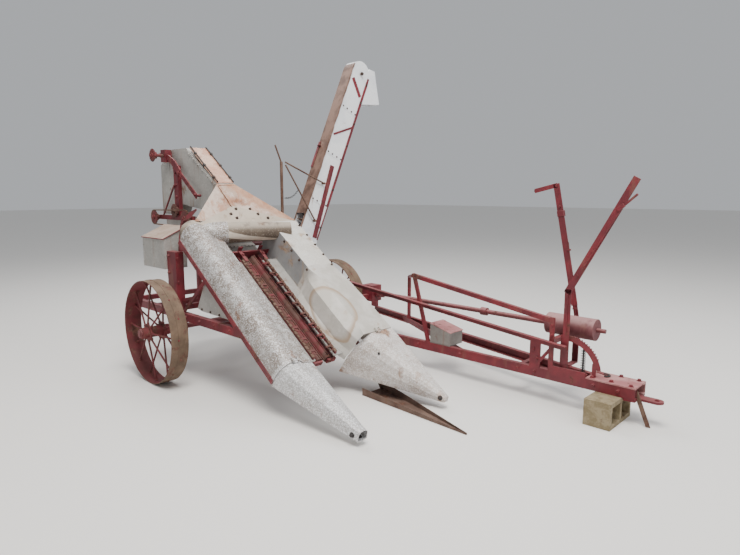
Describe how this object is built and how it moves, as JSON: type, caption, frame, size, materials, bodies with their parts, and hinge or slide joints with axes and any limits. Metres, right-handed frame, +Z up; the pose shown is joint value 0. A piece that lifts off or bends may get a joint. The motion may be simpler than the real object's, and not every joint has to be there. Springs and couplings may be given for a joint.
{
  "type": "corn picker",
  "caption": "Pull-type single-row corn picker with steel wheels, gathering snouts, hood, husking bed, wagon elevator and tongue.",
  "frame": {"origin": "bottom centre of the overall box, on the ground", "axes": "+X forward along the tongue, +Y to the machine's left, +Z up"},
  "size_m": [4.82, 3.5544, 3.2995],
  "materials": {
    "red": "dark crimson paint, weathered, with rust and sun-faded tops",
    "faded": "crimson paint faded to chalky pink",
    "zinc": "galvanised sheet, mottled, dull, with brown stains",
    "rust_sheet": "sheet steel with salmon rust and dirt",
    "rust_iron": "bare iron with brown rust",
    "concrete": "rough cream concrete"
  },
  "bodies": {
    "chassis": {"axle": "rust_iron", "bed_legs": "red", "chain_guides": "red", "concrete_block": "concrete", "cross_tube": "zinc", "drive_frame": "red", "drive_sprockets": "red", "elevator_cover": "rust_sheet", "first_elevator": "zinc", "floor_shoe": "rust_sheet", "gathering_chain_left": "red", "gathering_chain_right": "red", "gearbox": "red", "head_rails": "red", "hitch_plate": "red", "hood": "rust_sheet", "husking_bed": "zinc", "husking_rolls": "rust_iron", "inner_divider": "zinc", "lever_stand": "red", "lift_bar": "red", "main_frame": "red", "nose_plate": "faded", "outer_divider": "zinc", "post_left": "red", "post_right": "red", "quadrant": "red", "rear_hitch": "red", "roll_frame": "red", "shaft_shield": "faded", "shield_box": "zinc", "side_skirt": "zinc", "stay_post": "red", "throat_walls": "zinc", "tongue_braces": "red", "tongue_far_rail": "red", "tongue_near_rail": "red", "toolbox": "zinc", "truss": "red", "wagon_bracket": "red"},
    "wheel_right": {"wheel_right_rim": "rust_iron", "wheel_right_hub": "rust_iron"},
    "wheel_left": {"wheel_left_rim": "rust_iron", "wheel_left_hub": "rust_iron"},
    "drive_shaft": {"drive_shaft": "red"},
    "roll_right": {"snapping_roll_right": "rust_iron"},
    "roll_left": {"snapping_roll_left": "rust_iron"},
    "wagon_elevator": {"wagon_trough": "zinc", "wagon_rails": "red", "wagon_chain": "rust_iron", "wagon_spout": "zinc", "wagon_stays": "red"},
    "height_lever": {"height_lever": "red"},
    "lift_lever": {"lift_lever": "red"},
    "toolbox_lid": {"toolbox_lid": "faded"},
    "shield_box_lid": {"shield_box_lid": "faded"},
    "outer_snout": {"outer_snout": "zinc"},
    "inner_snout": {"inner_snout": "zinc"},
    "stand_leg": {"stand_leg": "red"}
  },
  "joints": [
    {"name": "wheel_right_spin", "type": "hinge", "parent": "chassis", "child": "wheel_right", "pos_m": [-1.15, -1.63317, 0.457], "axis": [0, 1, 0], "continuous": true},
    {"name": "wheel_left_spin", "type": "hinge", "parent": "chassis", "child": "wheel_left", "pos_m": [-1.15, 0.47683, 0.457], "axis": [0, 1, 0], "continuous": true},
    {"name": "drive_shaft_spin", "type": "hinge", "parent": "chassis", "child": "drive_shaft", "pos_m": [0.75, 0.52083, 0.6], "axis": [1, 0, 0], "continuous": true},
    {"name": "roll_right_spin", "type": "hinge", "parent": "chassis", "child": "roll_right", "pos_m": [-0.31777, -0.90517, 0.68366], "axis": [0.809, 0, -0.5878], "continuous": true},
    {"name": "roll_left_spin", "type": "hinge", "parent": "chassis", "child": "roll_left", "pos_m": [-0.31777, -0.81317, 0.68366], "axis": [0.809, 0, -0.5878], "continuous": true},
    {"name": "wagon_elevator_tilt", "type": "hinge", "parent": "chassis", "child": "wagon_elevator", "pos_m": [-1.7325, 0.46083, 0.98], "axis": [1, 0, 0], "range_deg": [-12, 6]},
    {"name": "height_lever_pivot", "type": "hinge", "parent": "chassis", "child": "height_lever", "pos_m": [1.715, 0.30683, 0.297], "axis": [0, 1, 0], "range_deg": [-5, 60]},
    {"name": "lift_lever_pivot", "type": "hinge", "parent": "chassis", "child": "lift_lever", "pos_m": [1.65, 0.64683, 0.6], "axis": [0, 1, 0], "range_deg": [-25, 30]},
    {"name": "toolbox_lid_hinge", "type": "hinge", "parent": "chassis", "child": "toolbox_lid", "pos_m": [0.396, 0.38583, 0.451], "axis": [0, -1, 0], "range_deg": [0, 100]},
    {"name": "shield_box_lid_hinge", "type": "hinge", "parent": "chassis", "child": "shield_box_lid", "pos_m": [-1.495, -1.22317, 1.3528], "axis": [-1, 0, 0], "range_deg": [0, 100]},
    {"name": "outer_snout_hinge", "type": "hinge", "parent": "chassis", "child": "outer_snout", "pos_m": [0.37841, -1.28417, 0.4399], "axis": [0, -1, 0], "range_deg": [0, 15]},
    {"name": "inner_snout_hinge", "type": "hinge", "parent": "chassis", "child": "inner_snout", "pos_m": [0.44953, -0.46917, 0.53779], "axis": [0, -1, 0], "range_deg": [0, 15]},
    {"name": "stand_leg_hinge", "type": "hinge", "parent": "chassis", "child": "stand_leg", "pos_m": [2.24, 0.33883, 0.23], "axis": [0, -1, 0], "range_deg": [0, 75]}
  ],
  "couplings": [
    {"joint": "roll_left_spin", "follows": "roll_right_spin", "ratio": -1}
  ]
}
